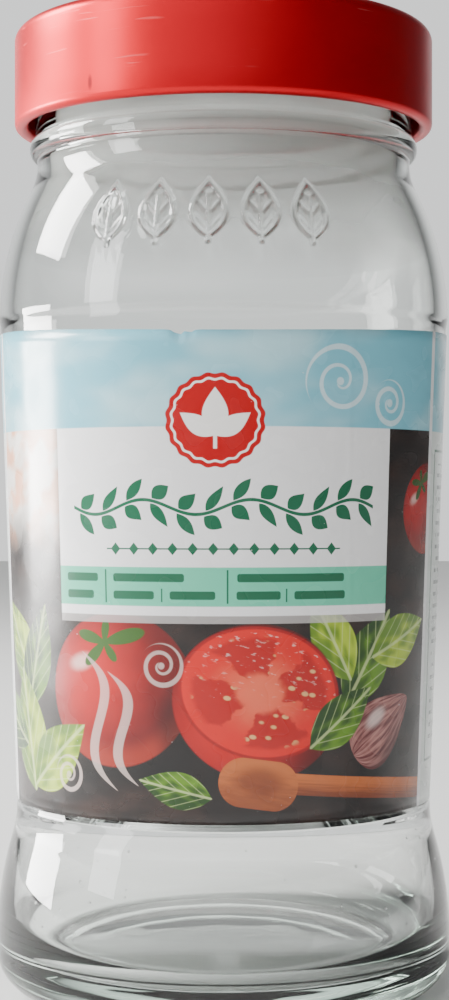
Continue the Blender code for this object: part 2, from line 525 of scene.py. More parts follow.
def glass_outline():
    punt = crown((BEARING_INNER - 0.5 * MM, 0.25 * MM), PUNT_HEIGHT, 12)
    bearing = [(BEARING_INNER, 0.06 * MM), (BEARING_INNER + 0.5 * MM, 0)]
    heel = arc((BEARING_OUTER, HEEL), HEEL, -90, 0, 16)
    foot = double_bend((FOOT_RADIUS, FOOT_TOP), WAIST, FOOT_BEND, 14)
    lower_step = ease(WAIST, (panel_radius(PANEL_LOW), PANEL_LOW + 0.3 * MM), 6)
    panel = straight(lower_step[-1], (panel_radius(PANEL_HIGH), PANEL_HIGH), 8)
    upper_step = ease(panel[-1], SHOULDER, 6)[:-1]
    shoulder = double_bend(SHOULDER, NECK, SHOULDER_BEND, 24)
    ring = []
    for i in range(17):
        angle = math.pi * (i / 16 - 0.5)
        root = NECK[0] if i < 8 else MOUTH_RADIUS
        reach = (RING_RADIUS - root) * math.cos(angle)
        ring.append((root + reach, RING_HEIGHT + RING_HALF * math.sin(angle)))
    rim_outer = arc((MOUTH_RADIUS - RIM_ROUND, MOUTH_TOP - RIM_ROUND), RIM_ROUND, 0, 90, 6)
    rim_inner = arc((BORE + RIM_ROUND, MOUTH_TOP - RIM_ROUND), RIM_ROUND, 90, 180, 6)
    neck_inside = double_bend((SHOULDER[0] - WALL, SHOULDER[1]), (BORE, NECK[1]), SHOULDER_BEND, 12)
    heel_centre = (FOOT_RADIUS - WALL - INNER_HEEL, FLOOR_EDGE + INNER_HEEL)
    inner_heel = arc(heel_centre, INNER_HEEL, 0, -90, 16)
    foot_inside = double_bend(inner_heel[0], (WAIST[0] - WALL, WAIST[1]), FOOT_BEND, 10)
    floor = crown(inner_heel[-1], FLOOR_EDGE + FLOOR_CROWN, 12)
    outside = punt + bearing + heel + foot + lower_step + panel + upper_step + shoulder + ring + rim_outer
    return outside + rim_inner + neck_inside[::-1] + foot_inside[::-1] + inner_heel[1:] + floor[-2::-1]


jar_glass = turn_piece("glass_body", glass_outline(), 320, GLASS)

# %% [markdown]
# ## Raised marks on the shoulder
# The mould leaves a row of raised marks on the front of the shoulder. Here they are five plain leaves,
# each a ridge round a midrib. A ridge needs finer faces than the rest of the jar, so only that patch is
# divided, and each of its points is pushed out by a height that a formula gives.

# %% Press the leaves into the shoulder
MARK_MIDDLE = 122.8 * MM
MARK_HALF_TALL = 4.3 * MM
MARK_HALF_WIDE = 2.7 * MM
MARK_PITCH = 7.7 * MM
MARK_COUNT = 5
MARK_SHIFT = -2.2 * MM
MARK_RAISE = 0.42 * MM
SHOULDER_MEAN = 34.6 * MM
SHOULDER_LEAST = SHOULDER_MEAN - 1.9 * MM


def soft_ridge(distance, half_width):
    share = max(0.0, 1 - abs(distance) / half_width)
    return share * share * (3 - 2 * share)


def mark_height(across, height):
    """How far the wall stands out at a place on the shoulder, measured round it and up it."""
    across -= MARK_SHIFT
    nearest = round(across / MARK_PITCH)
    if abs(nearest) > (MARK_COUNT - 1) / 2:
        return 0.0
    p = (across - nearest * MARK_PITCH) / MARK_HALF_WIDE
    q = (height - MARK_MIDDLE) / MARK_HALF_TALL
    if abs(q) > 1.25 or abs(p) > 1.3:
        return 0.0
    half = (1 - q * q) * (1 - 0.25 * q) * 0.9
    rim = soft_ridge(abs(p) - half, 0.26) if abs(q) < 1.06 else 0.0
    rib = soft_ridge(p, 0.2) if q < 0.62 else 0.0
    vein = soft_ridge((abs(p) * 0.8 - q + 0.1) % 0.62 - 0.31, 0.12) * 0.6 if abs(p) < half else 0.0
    return MARK_RAISE * max(rim, rib, vein)


def press_marks(piece):
    bm = bmesh.new()
    bm.from_mesh(piece.data)
    reach = (MARK_COUNT / 2 * MARK_PITCH) / SHOULDER_MEAN
    middle = MARK_SHIFT / SHOULDER_MEAN

    def on_patch(face):
        x, y, z = face.calc_center_median()
        outer = math.hypot(x, y) > SHOULDER_LEAST and face.normal.x * x + face.normal.y * y > 0
        beside = abs(math.atan2(x, -y) - middle) < reach
        return outer and beside and abs(z - MARK_MIDDLE) < 1.25 * MARK_HALF_TALL

    edges = {edge for face in bm.faces if on_patch(face) for edge in face.edges}
    bmesh.ops.subdivide_edges(bm, edges=list(edges), cuts=2, use_grid_fill=True)
    moved = 0
    for vert in bm.verts:
        x, y, z = vert.co
        radius = math.hypot(x, y)
        if abs(z - MARK_MIDDLE) > 1.3 * MARK_HALF_TALL or radius < SHOULDER_LEAST or y > 0:
            continue
        height = mark_height(math.atan2(x, -y) * SHOULDER_MEAN, z)
        if height:
            vert.co.x += height * x / radius
            vert.co.y += height * y / radius
            moved += 1
    for face in bm.faces:
        face.smooth = True
    bm.to_mesh(piece.data)
    bm.free()
    return moved


print(press_marks(jar_glass), "points pressed out,", len(jar_glass.data.polygons), "faces in the glass")

# %% [markdown]
# ## Red lacquer on tinplate
# The lid is stamped from thin steel sheet that was lacquered first. The lacquer is smooth and glossy,
# with the faint unevenness of all sprayed or rolled paint, a few hairline scratches, and a slightly
# duller look where fingers turn it. Light goes through the red, meets the bright metal and comes back
# red, so the lid is bright on its lit side and deep maroon on the other. That is why the shader is
# partly metallic, with a thin clear coat on top.

# %% The lacquer material
LID_RED = rgb(208, 0, 24)
LID_DEEP_RED = rgb(190, 0, 20)
LID_SPOT = (-20.3 * MM, -27.8 * MM, 142.8 * MM)


def build_scratches():
    """Hairlines that run round the axis in short broken pieces. The mask is 1 on a hairline."""
    tree, given, end = new_group(
        "hairline_scratches",
        [("Place", "vector", None), ("Fineness", "number", 900.0), ("Amount", "number", 0.2)],
        [("Mask", "number")],
    )
    stretch = tree.nodes.new("ShaderNodeMapping")
    plug(tree, stretch.inputs["Vector"], given["Place"])
    stretch.inputs["Rotation"].default_value = (0.3, 0.2, 0.5)
    stretch.inputs["Scale"].default_value = (0.06, 0.06, 1.0)
    lines = tree.nodes.new("ShaderNodeTexNoise")
    plug(tree, lines.inputs["Vector"], Wire(tree, stretch.outputs[0]))
    plug(tree, lines.inputs["Scale"], given["Fineness"])
    lines.inputs["Detail"].default_value = 2
    broken = noise(tree, 60, 2, given["Place"])
    hair = ramp(Wire(tree, lines.outputs["Fac"]), 0.66, 0.7)
    mask = hair * ramp(broken, 0.5, 0.6) * given["Amount"]
    plug(tree, end.inputs["Mask"], mask)
    return tree


SCRATCHES = build_scratches()


def make_lacquer():
    material, tree, shader, _ = new_material("red_lacquer")
    place = object_place(tree)
    scratches = use_group(tree, SCRATCHES, Place=place, Fineness=1400.0, Amount=0.6)["Mask"]
    handled = ramp(noise(tree, 45, 4, place), 0.45, 0.7)
    tone = noise(tree, 18, 2, place)
    color = mix(tree, ramp(tone, 0.3, 0.75), LID_RED, LID_DEEP_RED)
    color = mix(tree, scratches * 0.4, color, rgb(235, 130, 130))
    offset = tree.nodes.new("ShaderNodeMapping")
    plug(tree, offset.inputs["Vector"], place)
    offset.inputs["Location"].default_value = [-v * s for v, s in zip(LID_SPOT, (1, 1, 0.35))]
    offset.inputs["Scale"].default_value = (1, 1, 0.35)
    size = tree.nodes.new("ShaderNodeVectorMath")
    size.operation = "LENGTH"
    tree.links.new(offset.outputs[0], size.inputs[0])
    spot = ramp(Wire(tree, size.outputs["Value"]), 0.55 * MM, 0.2 * MM)
    plug(tree, shader.inputs["Base Color"], mix(tree, spot * 0.7, color, rgb(70, 4, 10)))
    shader.inputs["Metallic"].default_value = 0.75
    plug(tree, shader.inputs["Roughness"], handled * 0.08 + scratches * 0.3 + 0.34)
    shader.inputs["Specular IOR Level"].default_value = 0.3
    shader.inputs["Coat Weight"].default_value = 0.15
    shader.inputs["Coat Roughness"].default_value = 0.22
    peel = noise(tree, 620, 2, place)
    plug(tree, shader.inputs["Normal"], bump(tree, peel + scratches * 0.6, 0.12, 0.05 * MM))
    return material


def make_enamel():
    """The pale enamel that coats the inside of a food lid."""
    material, tree, shader, _ = new_material("pale_enamel")
    place = object_place(tree)
    stain = noise(tree, 70, 4, place)
    color = mix(tree, ramp(stain, 0.5, 0.75), rgb(236, 234, 224), rgb(222, 214, 196))
    plug(tree, shader.inputs["Base Color"], color)
    plug(tree, shader.inputs["Roughness"], stain * 0.2 + 0.3)
    return material


LACQUER = make_lacquer()
ENAMEL = make_enamel()
print("lacquer with", len(LACQUER.node_tree.nodes), "nodes, enamel with", len(ENAMEL.node_tree.nodes))

# %% [markdown]
# ## The lid
# A twist-off lid is one sheet: a sunken panel with a safety button in its middle, a raised edge, a
# straight skirt and a rolled lower edge. Because it is thin sheet, the outline follows the outside
# and comes back half a millimetre further in.

# %% Outline of the lid
SHEET = 0.5 * MM
LID_CORNER = 1.9 * MM
CURL = 1.1 * MM
RECESS = 1.2 * MM
PANEL_EDGE = 25.6 * MM
RECESS_WIDTH = 1.4 * MM
BUTTON = 9.5 * MM
BUTTON_RISE = 0.6 * MM
GROOVE_WIDTH = 1.2 * MM
GROOVE_LIFT = 0.12 * MM


def soft_step(start, end, steps):
    """An S-shaped step from one point to another, without its first point."""
    points = []
    for i in range(1, steps + 1):
        share = i / steps
        lift = share * share * (3 - 2 * share)
        points.append((start[0] + (end[0] - start[0]) * share, start[1] + (end[1] - start[1]) * lift))
    return points


def lid_outline():
    panel_top = LID_TOP - RECESS
    button = crown((BUTTON * 0.8, panel_top + BUTTON_RISE * 0.8), panel_top + BUTTON_RISE, 5)
    button += soft_step(button[-1], (BUTTON, panel_top), 6)
    groove = soft_step(button[-1], (BUTTON + GROOVE_WIDTH, panel_top + GROOVE_LIFT), 3)
    panel = straight(groove[-1], (PANEL_EDGE, panel_top + GROOVE_LIFT), 4)
    step = soft_step(panel[-1], (PANEL_EDGE + RECESS_WIDTH, LID_TOP), 8)
    corner = arc((LID_RADIUS - LID_CORNER, LID_TOP - LID_CORNER), LID_CORNER, 90, 0, 12)
    skirt = straight((LID_RADIUS, LID_TOP - LID_CORNER), (LID_RADIUS, LID_BOTTOM + CURL), 4)
    curl = arc((LID_RADIUS - CURL, LID_BOTTOM + CURL), CURL, 0, -240, 20)[1:]
    inside = [(LID_RADIUS - SHEET, LID_BOTTOM + 2 * CURL + SHEET)]
    inner_corner = arc((LID_RADIUS - LID_CORNER, LID_TOP - LID_CORNER), LID_CORNER - SHEET, 0, 90, 8)
    top = button + groove + panel + step
    underside = [(r, z - SHEET) for r, z in reversed(top)]
    return top + corner[1:] + skirt + curl + inside + inner_corner + underside


def coat_inside(piece):
    """Gives the enamel to the faces that look at the axis or down, above the rolled edge."""
    piece.data.materials.append(ENAMEL)
    coated = 0
    for face in piece.data.polygons:
        x, y, z = face.center
        inward = -(face.normal.x * x + face.normal.y * y)
        looks_in = inward > 0.7 * math.hypot(x, y) and math.hypot(x, y) > PANEL_EDGE + RECESS_WIDTH + 1.5 * MM
        if z > LID_BOTTOM + 2 * CURL and (looks_in or face.normal.z < -0.3):
            face.material_index = 1
            coated += 1
    return coated


lid = turn_piece("lid_shell", lid_outline(), 256, LACQUER)
print(coat_inside(lid), "faces inside the lid are enamelled")

# %% [markdown]
# ## Millimetres on the label
# Print is drawn flat and wrapped round the jar afterwards. The label's UV map holds that flat sheet,
# and the groups below turn it into millimetres: `X` counts round the jar from the middle of the front,
# `Y` counts up from the lower edge. Each motif is a group with its own place, turn and half sizes. Its
# formula sees only its own axes `p` and `q`, which run from -1 to 1, so a motif can be used at any
# size. A group puts out a mask and a colour, and the label lays those over each other.

# %% Motif frame
SHEET_WIDE = 212.0
SHEET_TALL = (LABEL_HIGH.z - LABEL_BOTTOM) / MM


def new_motif(name, extra=()):
    """Starts a motif group and gives its tree, its own axes, its inputs and its end."""
    places = [(label, "number", 0.0) for label in ("X", "Y", "Middle X", "Middle Y", "Turn")]
    places += [("Half Wide", "number", 1.0), ("Half Tall", "number", 1.0)]
    tree, given, end = new_group(name, places + list(extra), [("Mask", "number"), ("Color", "color")])
    across = given["X"] - given["Middle X"]
    up = given["Y"] - given["Middle Y"]
    cosine = given["Turn"].math("COSINE")
    sine = given["Turn"].math("SINE")
    p = (across * cosine + up * sine) / given["Half Wide"]
    q = (up * cosine - across * sine) / given["Half Tall"]
    return tree, p, q, given, end


def end_motif(tree, end, mask, color):
    plug(tree, end.inputs["Mask"], mask)
    plug(tree, end.inputs["Color"], color)
    return tree


def vector(tree, x, y, z=0.0):
    node = tree.nodes.new("ShaderNodeCombineXYZ")
    for slot, value in enumerate((x, y, z)):
        plug(tree, node.inputs[slot], value)
    return Wire(tree, node.outputs[0])


print("the printed sheet is", SHEET_WIDE, "by", round(SHEET_TALL, 1), "mm")

# %% [markdown]
# ## Tomatoes in print
# The picture shows a whole tomato and half a one. The whole one is a disc that is lit from its upper
# left, with a glow near its lower edge and a star of green sepals. The half lies back, so its cut face
# is an ellipse in the upper part of its skin, with chambers, seeds and a pale core. Noise bends the
# edges of the chambers, because no fruit has straight ones.

# %% Motifs: tomatoes
def build_whole_tomato():
    tree, p, q, _, end = new_motif("whole_tomato")
    edge = length(p, q)
    body = ramp(edge, 1.0, 0.965)
    mottle = noise(tree, 3.0, 1, vector(tree, p, q))
    lit = ramp(length(p + 0.32, q - 0.28) + mottle * 0.25, 1.3, 0.2)
    color = mix(tree, lit, rgb(104, 2, 2), rgb(200, 6, 3))
    bounce = ramp(length(p - 0.05, q - 0.1), 0.72, 0.98) * ramp(q, 0.1, -0.9)
    color = mix(tree, bounce * 0.4, color, rgb(206, 60, 34))
    shine = ramp(length(p + 0.4, (q - 0.46) * 1.7), 0.26, 0.06)
    color = mix(tree, shine * 0.75, color, rgb(252, 214, 204))
    around = (q - 0.62).math("ARCTAN2", p)
    points = (around * 2.5).math("COSINE").math("ABSOLUTE")
    reach = length(p, (q - 0.62) * 2.0)
    leaves = ramp(reach - points * points * 0.46, 0.12, 0.08)
    color = mix(tree, leaves, color, rgb(52, 92, 20))
    return end_motif(tree, end, body.math("MAXIMUM", leaves), color)


def build_cut_tomato():
    """Half a tomato that lies back: its skin below, and the cut face with four chambers and seeds."""
    tree, p, q, _, end = new_motif("cut_tomato")
    body = ramp(length(p, q), 1.0, 0.97)
    below = ramp(length(p + 0.25, q + 0.35), 1.1, 0.2)
    skin = mix(tree, below, rgb(92, 2, 3), rgb(206, 10, 6))
    u = p / 0.955
    v = (q - 0.12) / 0.845
    edge = length(u, v)
    fibre = noise(tree, 5.0, 2, vector(tree, u, v))
    face = mix(tree, ramp(edge + fibre * 0.2, 0.2, 0.85), rgb(240, 104, 72), rgb(222, 22, 10))
    around = v.math("ARCTAN2", u)
    lobes = (around * 2 + fibre * 1.4).math("SINE").math("ABSOLUTE")
    inside = ramp(edge + fibre * 0.12, 0.3, 0.4) * ramp(edge + fibre * 0.1, 0.92, 0.82)
    chamber = ramp(lobes, 0.42, 0.6) * inside
    face = mix(tree, chamber, face, rgb(184, 6, 2))
    cells = tree.nodes.new("ShaderNodeTexVoronoi")
    plug(tree, cells.inputs["Vector"], vector(tree, u, v * 1.3))
    cells.inputs["Scale"].default_value = 5.5
    seeds = ramp(Wire(tree, cells.outputs["Distance"]), 0.3, 0.18) * chamber
    face = mix(tree, seeds * 0.8, face, rgb(240, 196, 128))
    wet = ramp(noise(tree, 9.0, 2, vector(tree, u, v * 2)), 0.6, 0.7) * ramp(v, -0.3, 0.6)
    face = mix(tree, wet * 0.5, face, rgb(255, 226, 214))
    color = mix(tree, ramp(edge, 1.0, 0.975), skin, mix(tree, ramp(edge, 0.93, 0.96), face, rgb(160, 3, 3)))
    return end_motif(tree, end, body, color)


def build_shade():
    """A soft dark patch, for the shadow under a thing."""
    tree, p, q, _, end = new_motif("shade")
    return end_motif(tree, end, ramp(length(p, q), 1.0, 0.35), (0.004, 0.003, 0.003))


WHOLE_TOMATO = build_whole_tomato()
CUT_TOMATO = build_cut_tomato()
SHADE = build_shade()
print("tomato motifs:", len(WHOLE_TOMATO.nodes), "and", len(CUT_TOMATO.nodes), "nodes")

# %% [markdown]
# ## Leaves, a shallot, wood and pale strokes
# Each of these is a width that changes along an axis. A leaf is widest below its middle and has a midrib
# and slanting veins. A shallot is drawn out to a tip and streaked along its skin. The bar serves for the
# wooden spoon and for plain dashes, and the spiral and the ribbon are the pale strokes over the picture.

# %% Motifs: leaf, bulb, bar, spiral and ribbon
def build_leaf():
    """A leaf that grows along its q axis, with a midrib and side veins."""
    colors = [("Dark", "color", rgb(60, 104, 34)), ("Light", "color", rgb(150, 186, 74))]
    tree, p, q, given, end = new_motif("leaf", colors)
    half = (q * q * -1 + 1) * (q * -0.3 + 1).math("MAXIMUM", 0.0)
    side = p.math("ABSOLUTE")
    body = ramp(side - half, 0.0, -0.07)
    swell = noise(tree, 2.6, 0, vector(tree, p, q))
    veins = ((side * 0.9 - q) * 17).math("SINE")
    tone = ramp(p * 0.35 + swell * 1.2 + veins * 0.06, 0.3, 1.0)
    color = mix(tree, tone, given["Dark"], given["Light"])
    rib = ramp(side, 0.09, 0.03).math("MAXIMUM", ramp(veins, 0.86, 0.99) * 0.6)
    color = mix(tree, rib * 0.55, color, rgb(222, 236, 168))
    return end_motif(tree, end, body, color)


def build_bulb():
    """A shallot: round below, drawn to a tip above, with a streaked skin."""
    tree, p, q, _, end = new_motif("bulb")
    half = (q * q * -1 + 1).math("MAXIMUM", 0.0).math("SQRT") * (q * -0.42 + 0.86)
    body = ramp(p.math("ABSOLUTE") - half, 0.0, -0.05)
    along = p / (half + 0.05)
    streaks = noise(tree, 4.0, 2, vector(tree, along * 2.2, q * 0.35))
    color = mix(tree, ramp(streaks, 0.35, 0.7), rgb(100, 38, 42), rgb(192, 132, 124))
    color = mix(tree, ramp(p + q * 0.3, 0.1, 0.9) * 0.7, color, rgb(74, 38, 40))
    shine = ramp(length(p + 0.36, (q + 0.1) * 0.7), 0.3, 0.08)
    color = mix(tree, shine * 0.6, color, rgb(244, 224, 218))
    return end_motif(tree, end, body, color)


def build_bar():
    """A bar with round ends or corners, in one colour with a grain along it."""
    extra = [("Corner", "number", 1.0), ("Grain", "number", 0.0)]
    extra += [("Tone", "color", (1, 1, 1)), ("Deep", "color", (0, 0, 0))]
    tree, p, q, given, end = new_motif("bar", extra)
    along = (p * given["Half Wide"]).math("ABSOLUTE") - given["Half Wide"] + given["Corner"]
    over = (q * given["Half Tall"]).math("ABSOLUTE") - given["Half Tall"] + given["Corner"]
    outside = length(along.math("MAXIMUM", 0.0), over.math("MAXIMUM", 0.0))
    body = ramp(outside - given["Corner"], 0.06, -0.06)
    fibres = noise(tree, 2.0, 2, vector(tree, p * 0.8, q * 3))
    shade = ramp(fibres * 0.8 - q * 0.45, 0.1, 0.8) * given["Grain"]
    return end_motif(tree, end, body, mix(tree, shade, given["Tone"], given["Deep"]))


def build_spiral():
    """A spiral stroke that winds inwards to a small ball. Its arms are one pitch apart."""
    extra = [("Radius", "number", 5.0), ("Pitch", "number", 2.6)]
    extra += [("Stroke", "number", 0.5), ("Inner", "number", 0.8)]
    tree, p, q, given, end = new_motif("spiral", extra)
    reach = length(p, q)
    arms = reach / given["Pitch"] - q.math("ARCTAN2", p) / (2 * math.pi)
    off = (arms - arms.math("ROUND")).math("ABSOLUTE") * given["Pitch"]
    wide = given["Stroke"] * (reach / given["Radius"] * 0.9 + 0.25)
    band = ramp(off - wide, 0.08, -0.08) * ramp(reach - given["Inner"], 0.0, 0.1)
    band = band * ramp(reach - given["Radius"], 0.1, -0.1)
    ball = ramp(reach - given["Inner"], 0.1, -0.1)
    return end_motif(tree, end, band.math("MAXIMUM", ball), (1.0, 1.0, 1.0))


def build_ribbon():
    """A ribbon that swings once to each side along its q axis and is pointed at both ends."""
    extra = [("Swing", "number", 2.0), ("Width", "number", 1.0)]
    tree, p, q, given, end = new_motif("ribbon", extra)
    off = (p - (q * math.pi).math("SINE") * given["Swing"]).math("ABSOLUTE")
    body = ramp(off - (q * q * -1 + 1) * given["Width"], 0.06, -0.06) * ramp(q.math("ABSOLUTE"), 1.0, 0.97)
    return end_motif(tree, end, body, (1.0, 1.0, 1.0))


LEAF = build_leaf()
BULB = build_bulb()
BAR = build_bar()
SPIRAL = build_spiral()
RIBBON = build_ribbon()
print("further motifs:", [group.name for group in (LEAF, BULB, BAR, SPIRAL, RIBBON)])

# %% [markdown]
# ## The printed label
# The printer lays down fields of colour first: a sky-blue band, a dark picture ground and a white
# panel. Then come the still life of tomatoes, leaves, a shallot and a spoon, a green garland where a
# title would stand, a mint strip with rules, and a red seal. All of it is generic and carries no words.
# The lists below hold one line for each printed shape, so the sheet can be laid out anew by changing
# numbers.

# %% Lay out the sheet
SKY = rgb(124, 196, 214)
WHITE = rgb(246, 245, 246)
MINT = rgb(100, 204, 170)
DEEP_GREEN = rgb(12, 98, 66)
DARK_FIELD = rgb(22, 15, 15)
SEAL_RED = rgb(186, 0, 8)
BACK_PANEL = rgb(226, 232, 228)
WOOD = rgb(198, 106, 50)
WOOD_DEEP = rgb(112, 46, 20)
PALE_LEAF = (rgb(92, 130, 18), rgb(178, 204, 48))
FRESH_LEAF = (rgb(30, 66, 12), rgb(98, 142, 24))

SEAL_PLACE = (-1.2, 60.0, 0.0, 7.3, 7.1)
SKY_CURLS = [(17.5, 66.0, 2.6, 5.6), (27.0, 63.0, 0.4, 3.6)]
FAR_TOMATO = (38.5, 47.0, 0.5, 7.6, 7.2)
LEFT_TOMATO = (-17.0, 19.8, 0.25, 12.6, 11.8)
RIGHT_TOMATO = (5.4, 18.2, -0.2, 13.4, 11.8)
SHALLOT = (27.5, 13.8, -1.0, 5.6, 7.4)
SPOON_HANDLE = (24.0, 4.6, -0.1, 17.0, 1.6)
SPOON_BOWL = (5.4, 6.0, -0.14, 6.2, 3.7)
SPOON_HOLLOW = (5.6, 6.3, -0.14, 5.6, 3.1)
SHADES = [(-16.0, 8.5, 0.0, 15.0, 4.5), (7.0, 7.0, 0.0, 16.0, 4.6), (27.0, 8.4, 0.0, 9.0, 3.4)]
SHADE_BETWEEN = (-6.5, 14.0, 0.0, 5.0, 9.0)
BEHIND_LEAVES = [
    (-40.5, 25.5, 0.75, 4.6, 9.5, PALE_LEAF),
    (-34.5, 24.0, -0.35, 4.4, 9.0, FRESH_LEAF),
    (-38.0, 12.5, 0.2, 5.6, 10.0, PALE_LEAF),
    (-45.5, 13.5, 1.1, 4.2, 8.0, FRESH_LEAF),
    (24.0, 24.5, -0.55, 4.6, 8.5, FRESH_LEAF),
    (17.0, 27.5, 0.5, 3.8, 7.5, PALE_LEAF),
    (31.5, 27.0, -1.2, 4.0, 7.5, PALE_LEAF),
]
PALE_INK = rgb(236, 214, 206)
RIBBONS = [(-20.0, 15.0, 0.3, 11.0, 2.6), (-15.8, 14.0, 0.3, 9.0, 2.2)]
CURLS = [(-9.4, 23.6, 0.6, 3.4), (-26.6, 6.4, 1.4, 3.0)]
FRONT_LEAVES = [
    (-29.5, 9.0, -0.9, 4.6, 8.6, PALE_LEAF),
    (19.0, 15.5, -0.9, 3.6, 7.2, FRESH_LEAF),
    (-7.5, 5.2, 1.35, 2.8, 6.0, FRESH_LEAF),
]


def new_field(name):
    """Starts the group of one field of the print, which gives its colour at a place on the sheet."""
    tree, given, end = new_group(name, [("X", "number", 0.0), ("Y", "number", 0.0)], [("Color", "color")])
    return tree, given["X"], given["Y"], end


def lay(color, group, x, y, place, strength=1.0, tint=None, **values):
    """Lays one motif over the print so far. Its place is its middle, its turn and its half sizes.

    A tint replaces the motif's own colour, and a strength below 1 leaves it see-through.
    """
    frame_inputs = dict(zip(("Middle_X", "Middle_Y", "Turn", "Half_Wide", "Half_Tall"), place))
    shape = use_group(x.tree, group, X=x, Y=y, **frame_inputs, **values)
    mask = shape["Mask"] if strength == 1.0 else shape["Mask"] * strength
    return mix(x.tree, mask, color, shape["Color"] if tint is None else tint)


def lay_bars(color, x, y, bars, tone):
    for middle_x, middle_y, half_wide, half_tall in bars:
        corner = min(half_wide, half_tall) * 0.6
        place = (middle_x, middle_y, 0.0, half_wide, half_tall)
        color = lay(color, BAR, x, y, place, Corner=corner, Tone=tone)
    return color


def lay_leaves(color, x, y, leaves):
    for *place, (dark, light) in leaves:
        color = lay(color, LEAF, x, y, place, Dark=dark, Light=light)
    return color


def lay_curls(color, x, y, curls, strength, stroke, inner, tint=None):
    for middle_x, middle_y, turn, radius in curls:
        color = lay(
            color, SPIRAL, x, y, (middle_x, middle_y, turn), strength, tint,
            Radius=radius, Pitch=radius * 0.5, Stroke=stroke, Inner=inner,
        )
    return color


print(len(BEHIND_LEAVES) + len(FRONT_LEAVES), "leaves in the still life")

# %% [markdown]
# ## The still life
# The picture is laid from back to front, as a painter would do it: the dark ground, the leaves behind,
# the shadows, the fruit, the spoon, the leaves in front, and the see-through strokes last.

# %% The still life
def build_still_life():
    tree, x, y, end = new_field("still_life")
    weave = noise(tree, 0.11, 3, vector(tree, x, y * 1.6))
    color = mix(tree, ramp(weave, 0.35, 0.75), DARK_FIELD, rgb(54, 36, 31))
    # Painted glare: the window light washes out the far upper left of the picture, so a pale and peach patch
    # with a noisy edge is laid over the dark ground there.
    glow = noise(tree, 0.16, 2, vector(tree, x + 30.0, y))
    pale = mix(tree, ramp(glow, 0.42, 0.6), rgb(238, 232, 224), rgb(238, 176, 142))
    painted_glare_left = ramp(x, -26.0, -29.0) * ramp(y + glow * 5.0, 42.0, 52.0)
    color = mix(tree, painted_glare_left, color, pale)
    color = lay(color, WHOLE_TOMATO, x, y, FAR_TOMATO, 0.8)
    color = lay_leaves(color, x, y, BEHIND_LEAVES)
    for place in SHADES:
        color = lay(color, SHADE, x, y, place, 0.85)
    color = lay(color, WHOLE_TOMATO, x, y, LEFT_TOMATO)
    color = lay(color, SHADE, x, y, SHADE_BETWEEN, 0.6)
    color = lay(color, CUT_TOMATO, x, y, RIGHT_TOMATO)
    color = lay(color, BULB, x, y, SHALLOT)
    color = lay(color, BAR, x, y, SPOON_HANDLE, Corner=1.5, Grain=0.9, Tone=WOOD, Deep=WOOD_DEEP)
    color = lay(color, BAR, x, y, SPOON_BOWL, Corner=3.65, Grain=0.7, Tone=WOOD, Deep=WOOD_DEEP)
    color = lay(color, SHADE, x, y, SPOON_HOLLOW, 0.7, WOOD_DEEP)
    color = lay_leaves(color, x, y, FRONT_LEAVES)
    return finish_still_life(tree, end, x, y, color)


def finish_still_life(tree, end, x, y, color):
    """Lays pale see-through ribbons and curls over the picture, and closes the group."""
    for middle_x, middle_y, turn, half_tall, swing in RIBBONS:
        place = (middle_x, middle_y, turn, 1.0, half_tall)
        color = lay(color, RIBBON, x, y, place, 0.5, PALE_INK, Swing=swing)
    color = lay_curls(color, x, y, CURLS, 0.55, 0.36, 0.5, PALE_INK)
    plug(tree, end.inputs["Color"], color)
    return tree


STILL_LIFE = build_still_life()
print("still life group:", len(STILL_LIFE.nodes), "nodes")

# %% [markdown]
# ## The title panel
# Such a label has a white panel for its title and a strip for its figures. A garland, a row of lozenges
# and plain bars stand there instead. The garland is one cell with two leaves, which repeats along a
# wave, so two motifs make the whole row.

# %% The title panel
GARLAND_HEIGHT = 47.2
GARLAND_WAVE = 16
GARLAND_HALF = 24.0
LEAF_PITCH = 4.0
LOZENGE_HEIGHT = 41.0
LOZENGE_PITCH = 3.0
STRIP_RULES = [
    (-18.3, 35.4, 0.13, 2.5), (0.6, 35.4, 0.13, 2.5), (-9.2, 34.1, 0.11, 1.0), (9.4, 34.1, 0.11, 1.0),
]
STRIP_BARS = [
    (-22.7, 36.7, 3.0, 0.62), (-23.1, 34.1, 2.6, 0.62), (-11.4, 36.7, 5.6, 0.62), (-13.7, 34.1, 3.3, 0.62),
    (-4.6, 34.1, 3.4, 0.62), (10.4, 36.7, 8.4, 0.62), (5.2, 34.1, 3.3, 0.62), (14.8, 34.1, 4.2, 0.62),
]


